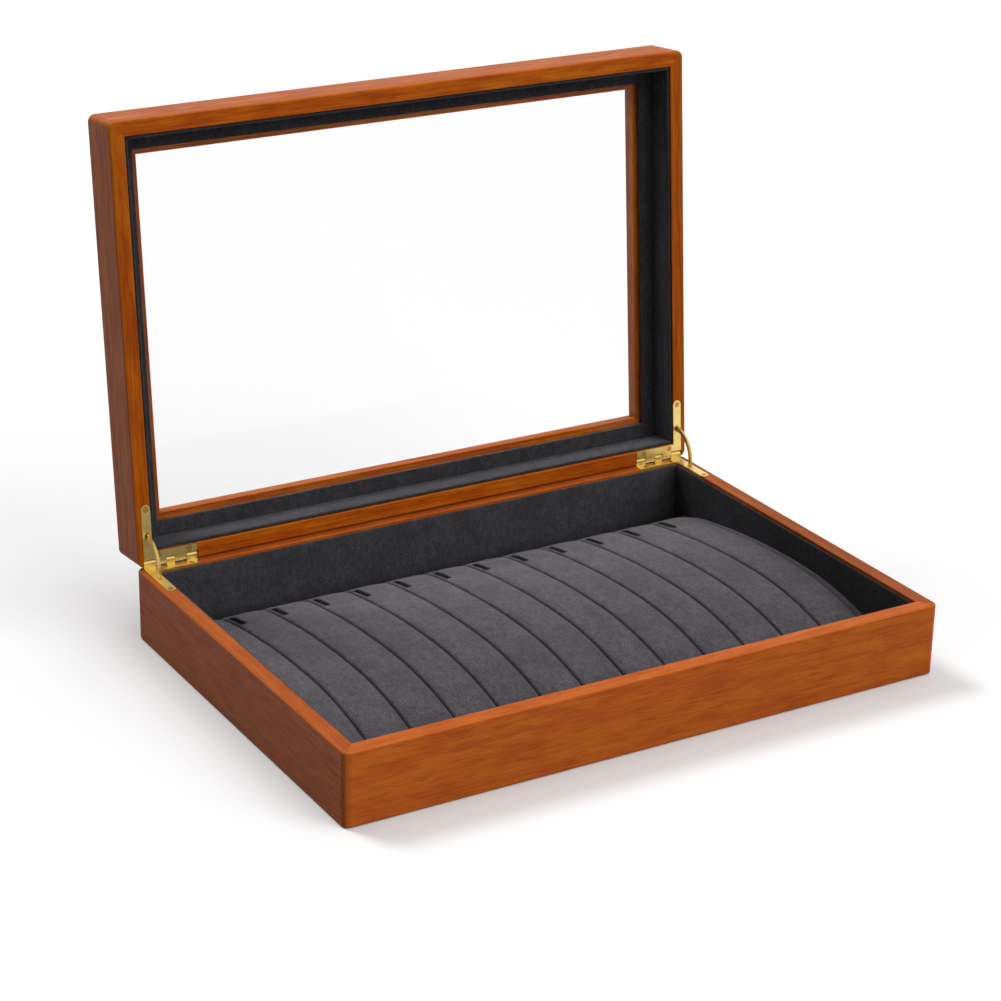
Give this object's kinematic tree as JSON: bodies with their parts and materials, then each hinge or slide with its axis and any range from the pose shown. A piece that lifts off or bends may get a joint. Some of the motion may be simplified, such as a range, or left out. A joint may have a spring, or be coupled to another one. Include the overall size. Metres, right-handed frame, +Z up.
{
  "type": "jewellery display box",
  "caption": "Shallow wooden display box with a hinged glass lid, brass quadrant-stay hinges and an arched suede pad, grooved and slotted to lay out bracelets.",
  "frame": {"origin": "centre of the underside, on the plane that the box stands on", "axes": "+X along the box's width, +Y towards the hinges, +Z up"},
  "size_m": [0.35, 0.2841, 0.28],
  "materials": {
    "wood": "satin red-brown stain, fine straight grain",
    "floor_board": "raw board, hidden",
    "felt": "black felt",
    "lining_suede": "charcoal microfibre suede over board",
    "pad_suede": "charcoal microfibre suede, softly padded",
    "pad_foam": "dark foam",
    "glass": "clear float glass",
    "brass": "polished"
  },
  "bodies": {
    "base": {"base_rail_front": "wood", "base_rail_back": "wood", "base_rail_left": "wood", "base_rail_right": "wood", "floor_panel": "floor_board", "floor_lining": "lining_suede", "underside_felt": "felt", "base_lining_front": "lining_suede", "base_lining_back": "lining_suede", "base_lining_left": "lining_suede", "base_lining_right": "lining_suede", "pad_core": "pad_foam", "pad_cover": "pad_suede", "hinge_base_leaf_left": "brass", "hinge_base_leaf_right": "brass", "hinge_pin_left": "brass", "hinge_pin_right": "brass", "base_hinge_screws": "brass"},
    "lid": {"lid_rail_front": "wood", "lid_rail_back": "wood", "lid_rail_left": "wood", "lid_rail_right": "wood", "glass_pane": "glass", "glass_border": "lining_suede", "lid_lining_front": "lining_suede", "lid_lining_back": "lining_suede", "lid_lining_left": "lining_suede", "lid_lining_right": "lining_suede", "hinge_lid_leaf_left": "brass", "hinge_lid_leaf_right": "brass", "lid_hinge_screws": "brass"},
    "left_stay": {"stay_left": "brass"},
    "right_stay": {"stay_right": "brass"}
  },
  "joints": [
    {"name": "lid_hinge", "type": "hinge", "parent": "base", "child": "lid", "pos_m": [0, 0.118, 0.0428], "axis": [1, 0, 0], "range_deg": [0, 95]},
    {"name": "left_stay_swing", "type": "hinge", "parent": "base", "child": "left_stay", "pos_m": [-0.1692, 0.118, 0.0428], "axis": [1, 0, 0], "range_deg": [0, 47.5]},
    {"name": "right_stay_swing", "type": "hinge", "parent": "base", "child": "right_stay", "pos_m": [0.1692, 0.118, 0.0428], "axis": [1, 0, 0], "range_deg": [0, 47.5]}
  ],
  "couplings": [
    {"joint": "left_stay_swing", "follows": "lid_hinge", "ratio": 0.5},
    {"joint": "right_stay_swing", "follows": "lid_hinge", "ratio": 0.5}
  ]
}
